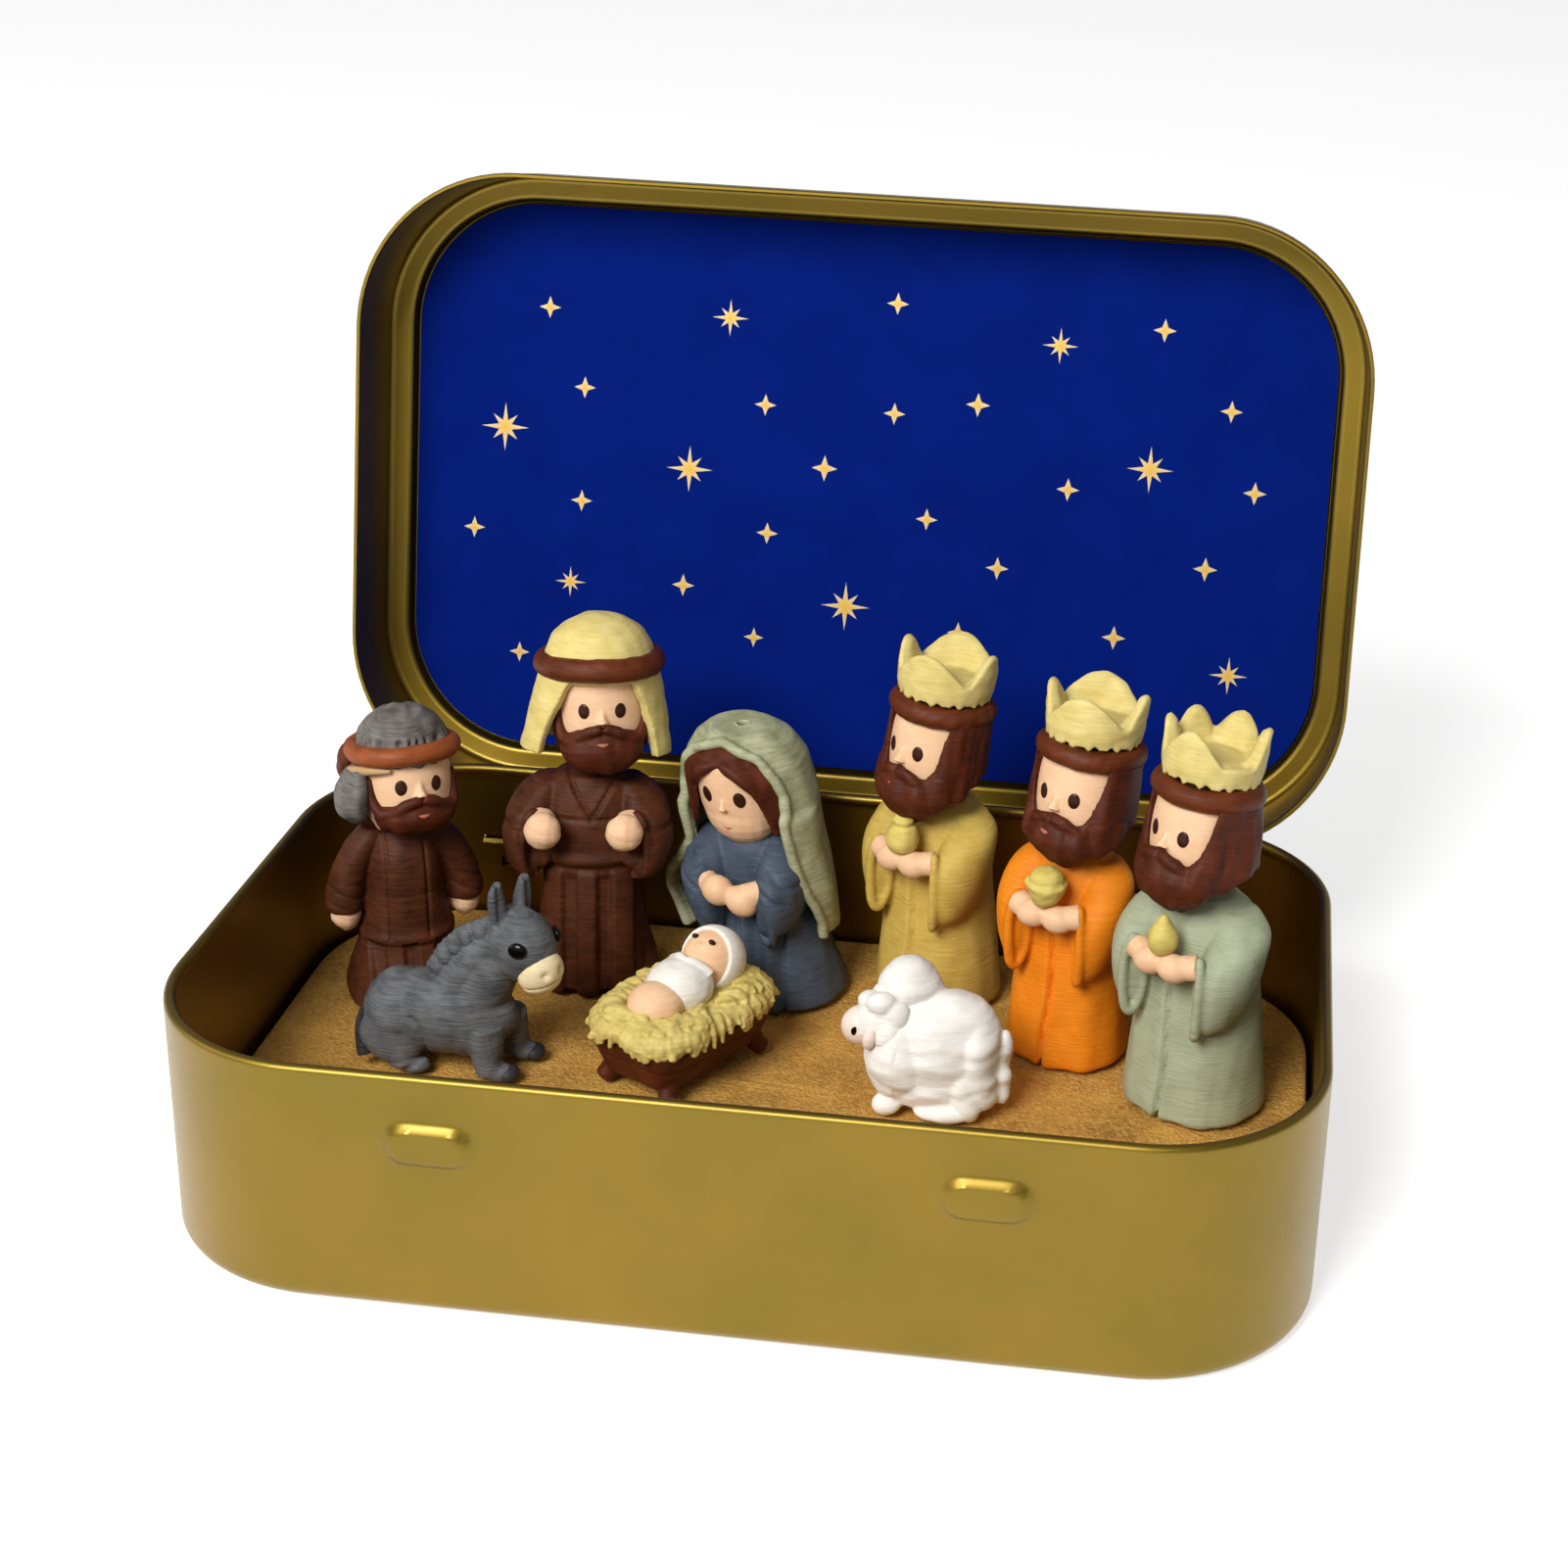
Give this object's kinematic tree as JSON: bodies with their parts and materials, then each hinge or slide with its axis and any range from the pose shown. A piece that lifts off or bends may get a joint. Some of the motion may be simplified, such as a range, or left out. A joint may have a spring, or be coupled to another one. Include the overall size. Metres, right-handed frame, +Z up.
{
  "type": "pocket nativity tin",
  "caption": "Hinged pocket tin that opens to show a nativity scene of small printed pieces on a sandy floor, under a starry blue card.",
  "frame": {"origin": "centre of the base tin's underside", "axes": "+X along the tin's length to the right, +Y from the front wall to the hinge, +Z up"},
  "size_m": [0.0958, 0.081, 0.0761],
  "materials": {
    "gold_lacquer": "satin gold lacquer on drawn tinplate",
    "blue_card": "matte printed card, dark blue with gold stars",
    "sand": "grainy sand-coloured block",
    "skin": "printed plastic with fine layer lines",
    "brown_print": "printed plastic with fine layer lines",
    "band_print": "printed plastic with fine layer lines",
    "cream_print": "printed plastic with fine layer lines",
    "ochre_print": "printed plastic with fine layer lines",
    "orange_print": "printed plastic with fine layer lines",
    "sage_print": "printed plastic with fine layer lines",
    "slate_print": "printed plastic with fine layer lines",
    "veil_print": "printed plastic with fine layer lines",
    "grey_print": "printed plastic with fine layer lines",
    "white_print": "printed plastic with fine layer lines"
  },
  "bodies": {
    "base": {"base_tin": "gold_lacquer", "sand_floor": "sand", "hinge_clip_left": "gold_lacquer", "hinge_clip_right": "gold_lacquer"},
    "lid": {"lid_tin": "gold_lacquer", "sky_card": "blue_card"},
    "shepherd": {"shepherd_robe": "brown_print", "shepherd_hand_right": "skin", "shepherd_hand_left": "skin", "shepherd_head": "skin", "shepherd_beard": "brown_print", "shepherd_headscarf": "grey_print", "shepherd_headband": "band_print"},
    "father": {"father_robe": "brown_print", "father_hand_right": "skin", "father_hand_left": "skin", "father_head": "skin", "father_beard": "brown_print", "father_headscarf": "cream_print", "father_headband": "band_print"},
    "mother": {"mother_robe": "slate_print", "mother_hands": "skin", "mother_head": "skin", "mother_hair": "brown_print", "mother_veil": "veil_print"},
    "king_ochre": {"king_ochre_robe": "ochre_print", "king_ochre_hands": "skin", "king_ochre_gift": "cream_print", "king_ochre_head": "skin", "king_ochre_beard": "brown_print", "king_ochre_headband": "band_print", "king_ochre_crown": "cream_print"},
    "king_orange": {"king_orange_robe": "orange_print", "king_orange_hands": "skin", "king_orange_gift": "cream_print", "king_orange_head": "skin", "king_orange_beard": "brown_print", "king_orange_headband": "band_print", "king_orange_crown": "cream_print"},
    "king_sage": {"king_sage_robe": "sage_print", "king_sage_hands": "skin", "king_sage_gift": "cream_print", "king_sage_head": "skin", "king_sage_beard": "brown_print", "king_sage_headband": "band_print", "king_sage_crown": "cream_print"},
    "donkey": {"donkey_body": "grey_print", "donkey_muzzle": "cream_print"},
    "manger": {"manger_trough": "brown_print", "manger_straw": "cream_print", "child_wrap": "white_print", "child_legs": "skin", "child_head": "skin", "child_hood": "white_print"},
    "sheep": {"sheep_body": "white_print", "sheep_head": "white_print"}
  },
  "joints": [
    {"name": "lid_hinge", "type": "hinge", "parent": "base", "child": "lid", "pos_m": [0, 0.03, 0.0177], "axis": [-1, 0, 0], "range_deg": [-42, 0]},
    {"name": "shepherd_lift", "type": "slide", "parent": "base", "child": "shepherd", "axis": [0, 0, 1], "range_m": [0, 0.04]},
    {"name": "father_lift", "type": "slide", "parent": "base", "child": "father", "axis": [0, 0, 1], "range_m": [0, 0.04]},
    {"name": "mother_lift", "type": "slide", "parent": "base", "child": "mother", "axis": [0, 0, 1], "range_m": [0, 0.04]},
    {"name": "king_ochre_lift", "type": "slide", "parent": "base", "child": "king_ochre", "axis": [0, 0, 1], "range_m": [0, 0.04]},
    {"name": "king_orange_lift", "type": "slide", "parent": "base", "child": "king_orange", "axis": [0, 0, 1], "range_m": [0, 0.04]},
    {"name": "king_sage_lift", "type": "slide", "parent": "base", "child": "king_sage", "axis": [0, 0, 1], "range_m": [0, 0.04]},
    {"name": "donkey_lift", "type": "slide", "parent": "base", "child": "donkey", "axis": [0, 0, 1], "range_m": [0, 0.04]},
    {"name": "manger_lift", "type": "slide", "parent": "base", "child": "manger", "axis": [0, 0, 1], "range_m": [0, 0.04]},
    {"name": "sheep_lift", "type": "slide", "parent": "base", "child": "sheep", "axis": [0, 0, 1], "range_m": [0, 0.04]}
  ]
}
